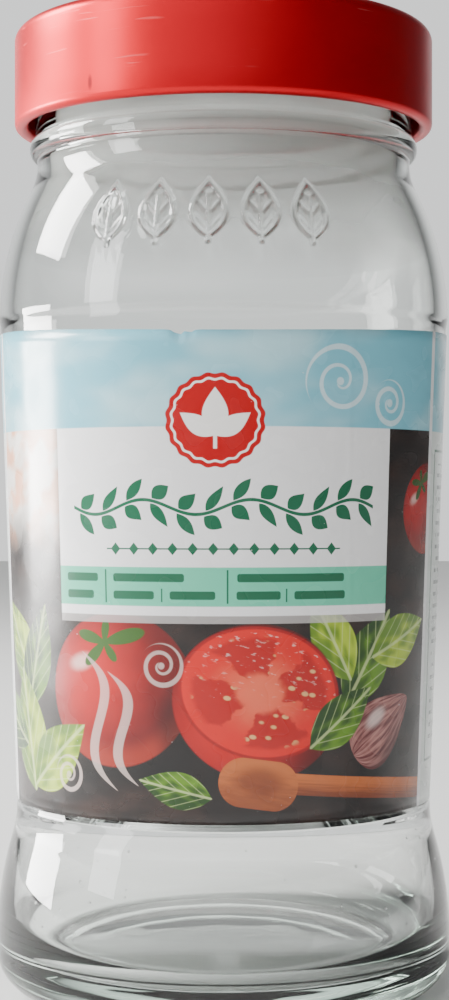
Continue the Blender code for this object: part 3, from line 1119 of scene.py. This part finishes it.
def build_title_panel():
    """The white panel with a garland, small rules, the mint strip and its bars."""
    tree, x, y, end = new_field("title_panel")
    color = mix(tree, ramp(y, 38.2, 38.35), MINT, WHITE)
    color = mix(tree, ramp(y, 32.55, 32.4), color, WHITE)
    side = x.math("ABSOLUTE")
    rise = y - GARLAND_HEIGHT - (x * (2 * math.pi / GARLAND_WAVE)).math("SINE") * 1.1
    within = ramp(side, GARLAND_HALF + 0.02, GARLAND_HALF - 0.02)
    color = mix(tree, ramp(rise.math("ABSOLUTE"), 0.32, 0.2) * within, color, DEEP_GREEN)
    cell = x.math("WRAP", LEAF_PITCH, 0.0) - LEAF_PITCH / 2
    for place in ((0.7, 1.75, -0.75, 0.95, 1.9), (0.5, -1.75, -2.35, 0.95, 1.9)):
        color = lay(color, LEAF, cell, rise, place, tint=DEEP_GREEN)
    beyond = ramp(side, GARLAND_HALF - 0.02, GARLAND_HALF + 0.02)
    color = mix(tree, beyond * ramp(y, 40.5, 41.5), color, WHITE)
    off_row = (y - LOZENGE_HEIGHT).math("ABSOLUTE")
    lozenge = (x.math("WRAP", LOZENGE_PITCH, 0.0) - LOZENGE_PITCH / 2).math("ABSOLUTE") * 1.2 + off_row
    row = ramp(lozenge, 1.0, 0.88).math("MAXIMUM", ramp(off_row, 0.15, 0.07))
    color = mix(tree, row * ramp(side, 18.03, 17.97), color, DEEP_GREEN)
    color = lay_bars(color, x, y, STRIP_RULES + STRIP_BARS, DEEP_GREEN)
    plug(tree, end.inputs["Color"], color)
    return tree


TITLE_PANEL = build_title_panel()
print("title panel group:", len(TITLE_PANEL.nodes), "nodes")

# %% [markdown]
# ## The seal
# A red mark sits across the edge between the sky and the panel. It is a disc whose edge is scalloped by
# a cosine of the angle, with a thin ring and a sprig of three leaves inside it.

# %% The seal
def build_seal():
    """A round red seal with a scalloped edge, a thin ring and a sprig of three leaves."""
    tree, p, q, _, end = new_motif("seal")
    around = q.math("ARCTAN2", p)
    edge = length(p, q) + (around * 20).math("COSINE") * 0.018
    body = ramp(edge, 0.99, 0.97)
    cream = (0.96, 0.93, 0.9)
    ring = ramp((edge - 0.86).math("ABSOLUTE"), 0.03, 0.02)
    color = mix(tree, ring, SEAL_RED, cream)
    sprig = ((0.0, 0.2, 0.0, 0.26, 0.5), (-0.36, -0.08, 0.95, 0.2, 0.42), (0.36, -0.08, -0.95, 0.2, 0.42))
    for place in sprig:
        color = lay(color, LEAF, p, q, place, tint=cream)
    stalk = ramp(p.math("ABSOLUTE"), 0.045, 0.03) * ramp((q + 0.36).math("ABSOLUTE"), 0.24, 0.22)
    color = mix(tree, stalk, color, cream)
    return end_motif(tree, end, body, color)


SEAL = build_seal()
print("seal group:", len(SEAL.nodes), "nodes")

# %% [markdown]
# ## The back of the label
# The back of such a label carries a table and fine print. It is out of sight in the photograph, so it is
# kept plain: rows of dashes, which a noise breaks into lengths, and a ruled table.

# %% The back panel
FINE_INK = rgb(74, 88, 84)
DASH_PITCH = 1.9
DASHES_MIDDLE = 68.0
TABLE_MIDDLE = -74.0
TABLE_ROW = 5.0


def build_back_panel():
    """A pale panel with a green frame, rules and rows of short dashes in place of fine print."""
    tree, x, y, end = new_field("back_panel")
    dash_row = y.math("WRAP", DASH_PITCH, 0.0)
    row = (y / DASH_PITCH).math("FLOOR")
    broken = noise(tree, 1.0, 1, vector(tree, x * 0.55, row * 7.3))
    line = ramp((dash_row - DASH_PITCH / 2).math("ABSOLUTE"), 0.36, 0.24) * ramp(broken, 0.4, 0.44)
    middle = (x - DASHES_MIDDLE).math("ABSOLUTE")
    block = ramp(middle, 24.0, 23.8) * ramp(y, 8.8, 9.0) * ramp(y, 54.2, 54.0)
    gap = ramp((middle - 1.6), 0.0, 0.4)
    color = mix(tree, line * block * gap * 0.75, BACK_PANEL, FINE_INK)
    off_edge = (middle - 26.0).math("MAXIMUM", (y - 31.5).math("ABSOLUTE") - 24.6).math("ABSOLUTE")
    color = mix(tree, ramp(off_edge, 0.24, 0.14), color, DEEP_GREEN)
    table_x = (x - TABLE_MIDDLE).math("ABSOLUTE")
    table = ramp(table_x, 20.2, 20.0) * ramp(y, 9.9, 10.1) * ramp(y, 50.1, 49.9)
    in_row = y.math("WRAP", TABLE_ROW, 0.0)
    rules = ramp((in_row - TABLE_ROW / 2).math("ABSOLUTE"), 2.28, 2.4)
    side_posts = ramp((table_x - 20.0).math("ABSOLUTE"), 0.24, 0.14)
    posts = side_posts.math("MAXIMUM", ramp((x + 68.0).math("ABSOLUTE"), 0.2, 0.1))
    color = mix(tree, rules.math("MAXIMUM", posts) * table, color, DEEP_GREEN)
    entry = ramp((in_row - TABLE_ROW).math("ABSOLUTE") - TABLE_ROW / 2, 0.42, 0.3)
    wide_part = ramp((x + 82.0).math("ABSOLUTE"), 9.5, 9.3)
    part = wide_part.math("MAXIMUM", ramp((x + 60.5).math("ABSOLUTE"), 4.6, 4.4))
    cut = noise(tree, 1.0, 1, vector(tree, x * 0.4, (y / TABLE_ROW).math("FLOOR") * 5.1))
    color = mix(tree, entry * part * table * ramp(cut, 0.42, 0.46) * 0.7, color, FINE_INK)
    plug(tree, end.inputs["Color"], color)
    return tree


BACK = build_back_panel()
print("back panel group:", len(BACK.nodes), "nodes")

# %% [markdown]
# ## Paper under the ink
# The label is coated paper: smooth and slightly glossy where it is printed, matt and fibrous on its
# cut edge and back. It is glued wet on a curved wall, so it keeps a shallow crease and a faint
# puckering. Both are bumps, because they are far smaller than the sheet's own steps. A shader works
# out every printed shape for each ray that meets it, so each stretch of the sheet has a material with
# only the fields that reach it. One material has them all, for the faces where fields meet.

# %% The label materials
FRONT_SHIFT = 3.6
FRONT_HALF = 43.1
PANEL_HALF = 27.3
PANEL_FOOT = 31.0
SKY_FOOT = 59.05


def make_print(name, fields):
    """The print for one stretch of the sheet. It holds only the fields that reach it, so it is quick."""
    material, tree, shader, _ = new_material("printed_paper_" + name)
    sheet = tree.nodes.new("ShaderNodeUVMap")
    sheet.uv_map = "sheet"
    split = tree.nodes.new("ShaderNodeSeparateXYZ")
    tree.links.new(sheet.outputs[0], split.inputs[0])
    x = (Wire(tree, split.outputs[0]) - 0.5) * SHEET_WIDE
    y = Wire(tree, split.outputs[1]) * SHEET_TALL
    color = WHITE
    if "picture" in fields:
        color = use_group(tree, STILL_LIFE, X=x, Y=y)["Color"]
    if "panel" in fields:
        panel = use_group(tree, TITLE_PANEL, X=x, Y=y)["Color"]
        within = ramp(x.math("ABSOLUTE"), PANEL_HALF, PANEL_HALF - 0.15)
        color = mix(tree, within * ramp(y, PANEL_FOOT, PANEL_FOOT + 0.1), color, panel)
        strip = within * ramp((y - PANEL_FOOT + 0.5).math("ABSOLUTE"), 0.62, 0.55)
        color = mix(tree, strip * 0.6, color, rgb(206, 200, 198))
    behind = (x + FRONT_SHIFT).math("ABSOLUTE")
    if "back" in fields:
        back = use_group(tree, BACK, X=x, Y=y)["Color"]
        color = mix(tree, ramp(behind, FRONT_HALF - 0.1, FRONT_HALF), color, back)
    if "sky" in fields:
        haze = noise(tree, 0.05, 2, vector(tree, x, y * 2.2))
        sky = mix(tree, ramp(haze, 0.4, 0.7), SKY, rgb(180, 222, 232))
        color = mix(tree, ramp(y, SKY_FOOT, SKY_FOOT + 0.15), color, sky)
    if "curls" in fields:
        color = lay_curls(color, x, y, SKY_CURLS, 0.5, 0.42, 0.6)
    if "seal" in fields:
        color = lay(color, SEAL, x, y, SEAL_PLACE)
    if "back" in fields:
        color = mix(tree, ramp((behind - FRONT_HALF).math("ABSOLUTE"), 0.66, 0.58), color, WHITE)
    specks = ramp(noise(tree, 1.6, 1, vector(tree, x, y)), 0.79, 0.82)
    color = mix(tree, specks * 0.5, color, WHITE)
    plug(tree, shader.inputs["Base Color"], color)
    rub = noise(tree, 0.16, 1, vector(tree, x, y))
    plug(tree, shader.inputs["Roughness"], ramp(rub, 0.4, 0.7) * 0.14 + 0.2)
    shader.inputs["IOR"].default_value = 1.46
    shader.inputs["Coat Weight"].default_value = 0.3
    shader.inputs["Coat Roughness"].default_value = 0.16
    pucker = noise(tree, 0.09, 1, vector(tree, x * 0.7, y))
    crease = ramp((x - 19.8 - (y * 0.08).math("SINE") * 0.5).math("ABSOLUTE"), 0.9, 0.0)
    fibre = noise(tree, 2.4, 1, vector(tree, x, y))
    relief = pucker * 1.2 + crease * 0.22 + fibre * 0.04
    plug(tree, shader.inputs["Normal"], bump(tree, relief, 0.5, 0.35 * MM))
    return material


def make_paper_back():
    material, tree, shader, _ = new_material("paper_back")
    place = object_place(tree)
    fibre = noise(tree, 900, 4, place)
    blotch = noise(tree, 60, 3, place)
    color = mix(tree, ramp(blotch + fibre * 0.3, 0.5, 0.9), rgb(226, 224, 216), rgb(204, 204, 196))
    plug(tree, shader.inputs["Base Color"], color)
    shader.inputs["Roughness"].default_value = 0.85
    plug(tree, shader.inputs["Normal"], bump(tree, fibre, 0.3, 0.05 * MM))
    return material


FIELDS = {
    "all": {"picture", "panel", "back", "sky", "curls", "seal"},
    "top": {"sky", "curls", "seal"},
    "panel": {"panel", "seal"},
    "picture": {"picture"},
    "behind": {"back", "sky"},
}
PRINTS = {name: make_print(name, fields) for name, fields in FIELDS.items()}
PAPER = make_paper_back()
print("print materials:", {name: len(made.node_tree.nodes) for name, made in PRINTS.items()})

# %% [markdown]
# ## The label sheet
# The sheet is built flat, row by row, and bent round the jar's slight taper while its points are
# placed. Its ends leave a gap at the back, and its upper edge climbs a little towards the sides, as a
# straight cut does on a cone. A small tear sits in that edge near the seal. The printed face is one
# grid, the back of the paper another, and a rim of narrow faces closes the sheet.

# %% Build the label
LABEL_TOP = 104.6 * MM
LABEL_CLIMB = 1.8 * MM
LABEL_MEAN = 34.9
GAP_ANGLE = math.radians(12)
GLUE = 0.03 * MM
PAPER_THICK = 0.14 * MM
LABEL_COLUMNS = 424
LABEL_ROWS = 40


def label_top(angle):
    """The height of the upper edge, with a torn nick left of the middle."""
    across = angle * LABEL_MEAN
    nick = 0.7 * math.exp(-((across + 6.3) / 0.9) ** 2) + 0.4 * math.exp(-((across + 4.6) / 0.5) ** 2)
    ragged = 0.1 * math.sin(across * 7) * math.exp(-((across + 5.6) / 1.6) ** 2)
    return LABEL_TOP + LABEL_CLIMB * math.sin(angle) ** 2 - (nick + ragged) * MM


def stretch_of(x, low, high):
    """Which of the prints a face needs, from where it lies on the sheet in millimetres.

    The margins keep every soft edge between two fields on the print that has them all.
    """
    behind = abs(x + FRONT_SHIFT)
    if behind > FRONT_HALF + 1.3:
        return "behind"
    if behind < FRONT_HALF - 1.1 and low > SKY_FOOT + 0.55:
        return "top"
    if behind < FRONT_HALF - 1.1 and high < PANEL_FOOT - 1.4:
        return "picture"
    if abs(x) < PANEL_HALF - 0.9 and low > PANEL_FOOT + 0.4 and high < SKY_FOOT - 0.25:
        return "panel"
    return "all"


def build_label():
    half_turn = math.pi - GAP_ANGLE / 2
    verts, faces, flat = [], [], []
    for depth in (PAPER_THICK, 0.0):
        for column in range(LABEL_COLUMNS + 1):
            angle = half_turn * (2 * column / LABEL_COLUMNS - 1)
            top = label_top(angle)
            for row in range(LABEL_ROWS + 1):
                height = LABEL_BOTTOM + (top - LABEL_BOTTOM) * row / LABEL_ROWS
                radius = panel_radius(height) + GLUE + depth
                verts.append((radius * math.sin(angle), -radius * math.cos(angle), height))
                flat.append((column / LABEL_COLUMNS, (height - LABEL_BOTTOM) / (SHEET_TALL * MM)))
    tall = LABEL_ROWS + 1
    layer = (LABEL_COLUMNS + 1) * tall
    for column in range(LABEL_COLUMNS):
        for row in range(LABEL_ROWS):
            a = column * tall + row
            faces.append((a, a + tall, a + tall + 1, a + 1))
    printed = len(faces)
    for a, b, c, d in faces[:printed]:
        faces.append((d + layer, c + layer, b + layer, a + layer))
    for column in range(LABEL_COLUMNS):
        for row in (0, LABEL_ROWS):
            a, b = column * tall + row, (column + 1) * tall + row
            faces.append((a, a + layer, b + layer, b) if row == 0 else (b, b + layer, a + layer, a))
    for column in (0, LABEL_COLUMNS):
        for row in range(LABEL_ROWS):
            a, b = column * tall + row, column * tall + row + 1
            faces.append((b, b + layer, a + layer, a) if column == 0 else (a, a + layer, b + layer, b))
    mesh = bpy.data.meshes.new("label_sheet")
    mesh.from_pydata(verts, [], faces)
    for material in (PAPER, *PRINTS.values()):
        mesh.materials.append(material)
    prints = list(PRINTS)
    uv = mesh.uv_layers.new(name="sheet")
    for loop in mesh.loops:
        uv.data[loop.index].uv = flat[loop.vertex_index]
    for face in mesh.polygons:
        face.use_smooth = face.index < 2 * printed
        if face.index < printed:
            across = [(flat[v][0] - 0.5) * SHEET_WIDE for v in face.vertices]
            up = [flat[v][1] * SHEET_TALL for v in face.vertices]
            face.material_index = 1 + prints.index(stretch_of(sum(across) / 4, min(up), max(up)))
    return face_out(link("label_sheet", mesh))


label = build_label()
print("label sheet has", len(label.data.polygons), "faces")

# %% [markdown]
# ## Haze in the neck
# The jar was rinsed and closed while damp, and a faint cloudy film dried inside the neck and the upper
# shoulder. It makes the neck look whiter than the clear wall below. The film is a very thin shell,
# mostly see-through, and a noise makes it uneven.

# %% The haze film
FILM_BOTTOM = 118 * MM
FILM_FULL = 126 * MM
FILM_WHITER = (127 * MM, 135 * MM)
FILM_TOP = 150 * MM


def make_haze():
    material, tree, shader, _ = new_material("rinse_haze")
    place = object_place(tree)
    split = tree.nodes.new("ShaderNodeSeparateXYZ")
    plug(tree, split.inputs[0], place)
    height = Wire(tree, split.outputs[2])
    cloud = noise(tree, 24, 3, place)
    band = ramp(height, FILM_BOTTOM, FILM_FULL)
    neck = ramp(height, *FILM_WHITER)
    shader.inputs["Base Color"].default_value = (0.93, 0.94, 0.91, 1)
    shader.inputs["Roughness"].default_value = 0.8
    cover = ramp(cloud, 0.3, 0.7) * 0.26 + neck * 0.24 + 0.08
    plug(tree, shader.inputs["Alpha"], band * cover)
    return material


def haze_outline():
    wall = double_bend((SHOULDER[0] - WALL, SHOULDER[1]), (BORE, NECK[1]), SHOULDER_BEND, 10)
    wall = [(r, z) for r, z in wall if z > FILM_BOTTOM] + [(BORE, 140 * MM), (BORE, FILM_TOP)]
    near = [(r - 0.05 * MM, z) for r, z in wall]
    far = [(r - 0.09 * MM, z) for r, z in wall]
    return near + far[::-1] + near[:1]


haze = turn_piece("haze_film", haze_outline(), 96, make_haze())

# %% [markdown]
# ## Droplets
# A few fine droplets cling to the wall between the label and the foot. They follow a rule, so a node
# tree scatters them: a noise decides where they gather, and each is a small flattened ball with a size
# of its own. A ball has few faces, because there are many and they are tiny.

# %% The droplets
DROPLET_BAND = (13 * MM, 29.5 * MM)


def build_scatter():
    """Scatters flattened balls over a surface, gathered where a noise is high."""
    tree = new_tree("droplet_scatter", [
        ("Density", "NodeSocketFloat", 60000.0),
        ("Size", "NodeSocketFloat", 0.22 * MM),
        ("Seed", "NodeSocketInt", 7),
        ("Material", "NodeSocketMaterial", None),
    ])
    given = add_node(tree, "NodeGroupInput").outputs
    clouds = add_node(tree, "ShaderNodeTexNoise", {"Scale": 55.0, "Detail": 2.0})
    gather = add_node(tree, "ShaderNodeMapRange", {0: clouds.outputs[0], 1: 0.5, 2: 0.68})
    density = add_node(
        tree, "ShaderNodeMath", {0: gather.outputs[0], 1: given["Density"]}, operation="MULTIPLY",
    )
    points = add_node(
        tree, "GeometryNodeDistributePointsOnFaces",
        {"Mesh": given["Geometry"], "Density": density.outputs[0], "Seed": given["Seed"]},
    )
    ball = add_node(tree, "GeometryNodeMeshIcoSphere", {"Radius": given["Size"], "Subdivisions": 2})
    spread = add_node(
        tree, "FunctionNodeRandomValue", {2: 0.35, 3: 1.0, "Seed": given["Seed"]}, data_type="FLOAT",
    )
    scale = add_node(tree, "ShaderNodeCombineXYZ", {0: spread.outputs[1], 1: spread.outputs[1]})
    flat = add_node(tree, "ShaderNodeMath", {0: spread.outputs[1], 1: 0.5}, operation="MULTIPLY")
    tree.links.new(flat.outputs[0], scale.inputs[2])
    drops = add_node(tree, "GeometryNodeInstanceOnPoints", {
        "Points": points.outputs["Points"], "Instance": ball.outputs[0],
        "Rotation": points.outputs["Rotation"], "Scale": scale.outputs[0],
    })
    end_tree(tree, drops.outputs[0], given["Material"])
    return tree


def make_water():
    material, _, shader, _ = new_material("water")
    shader.inputs["Base Color"].default_value = (1, 1, 1, 1)
    shader.inputs["Roughness"].default_value = 0.0
    shader.inputs["IOR"].default_value = 1.33
    shader.inputs["Transmission Weight"].default_value = 1.0
    return material


def wall_patch(low, high, steps):
    """A ring of faces on the inside of the wall near the foot, with their normals to the axis."""
    heel_top = (FOOT_RADIUS - WALL, FLOOR_EDGE + INNER_HEEL)
    rows = double_bend(heel_top, (WAIST[0] - WALL, WAIST[1]), FOOT_BEND, 8)
    rows = [(r - 0.03 * MM, z) for r, z in rows if low < z < high]
    verts, faces = [], []
    for i in range(steps):
        turn = 2 * math.pi * i / steps
        verts += [(r * math.cos(turn), r * math.sin(turn), z) for r, z in rows]
    for i in range(steps):
        a, b = i * len(rows), (i + 1) % steps * len(rows)
        faces += [(a + j, a + j + 1, b + j + 1, b + j) for j in range(len(rows) - 1)]
    mesh = bpy.data.meshes.new("wall_patch")
    mesh.from_pydata(verts, [], faces)
    return mesh


droplets = run_tree("droplets", wall_patch(*DROPLET_BAND, 96), build_scatter(), {
    "Density": 120000.0, "Size": 0.26 * MM, "Seed": 11, "Material": make_water(),
})
print("droplets have", len(droplets.data.polygons), "faces")

# %% [markdown]
# ## Floor and light
# The jar stands on a plain pale floor. Two soft panels far to the left give the window-like
# reflections on the shoulder, the label and the foot. A weaker one nearer the front lights the lid
# and the label, and the right side falls off into shade. The world is a plain pale grey, brightest
# behind the jar, so nothing busy shows through the glass.

# %% Floor, lights and world
def make_floor():
    material, tree, shader, _ = new_material("floor")
    shader.inputs["Base Color"].default_value = (0.8, 0.8, 0.79, 1)
    shader.inputs["Roughness"].default_value = 0.9
    mesh = bpy.data.meshes.new("floor")
    rim = [(2.5 * math.cos(math.radians(a)), 2.5 * math.sin(math.radians(a)), 0) for a in range(0, 360, 5)]
    mesh.from_pydata(rim, [], [tuple(range(len(rim)))])
    mesh.materials.append(material)
    return link("floor", mesh)


def add_panel_light(name, angle, distance, height, wide, tall, power, color=(1, 1, 1)):
    """A soft panel that stands round the jar at an angle from the camera's side and looks at the jar."""
    data = bpy.data.lights.new(name, "AREA")
    data.shape = "RECTANGLE"
    data.size, data.size_y = wide, tall
    data.energy = power
    data.color = color
    light = bpy.data.objects.new(name, data)
    turn = math.radians(angle)
    light.location = (distance * math.sin(turn), -distance * math.cos(turn), height)
    aim = -light.location
    aim.z += 0.08
    light.rotation_euler = aim.to_track_quat("-Z", "Y").to_euler()
    bpy.context.scene.collection.objects.link(light)
    return light


def make_sky():
    """A pale world: bright behind the jar, soft from the left and from above in front, dim at the right."""
    world = bpy.data.worlds.new("studio")
    world.use_nodes = True
    tree = world.node_tree
    background = tree.nodes["Background"]
    split = tree.nodes.new("ShaderNodeSeparateXYZ")
    tree.links.new(tree.nodes.new("ShaderNodeTexCoord").outputs["Generated"], split.inputs[0])
    leftward = Wire(tree, split.outputs[0]) * -1
    behind = Wire(tree, split.outputs[1])
    height = Wire(tree, split.outputs[2])
    front = ramp(height, 0.08, 0.26) * ramp(behind, 0.2, -0.3) * ramp(leftward, -0.8, 0.4)
    plug(tree, background.inputs["Color"], (0.92, 0.93, 0.93))
    strength = front * 1.6 + ramp(behind, 0.72, 0.95) * 1.05 + ramp(leftward, -0.3, 0.8) * 0.2 + 0.1
    plug(tree, background.inputs["Strength"], strength)
    bpy.context.scene.world = world


make_floor()
make_sky()
add_panel_light("window_left", -104, 0.9, 0.62, 0.4, 0.4, 24, (1.0, 0.99, 0.97))
add_panel_light("window_left_low", -107, 0.9, 0.1, 0.4, 0.18, 12, (1.0, 0.99, 0.97))
add_panel_light("side_fill", -64, 1.0, 0.42, 0.3, 0.5, 4.5)

# %% [markdown]
# ## Hand the pieces to the frame
# Each finished piece replaces its solid and rides the one body.

# %% Finish
DRESSED = [(jar_glass, "jar_glass", "glass"), (lid, "lid", "lid_paint"), (label, "label", "label_paper")]
for piece, node, slot in DRESSED:
    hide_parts(node)
    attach(piece, "root")
for piece in (haze, droplets):
    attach(piece, "root")
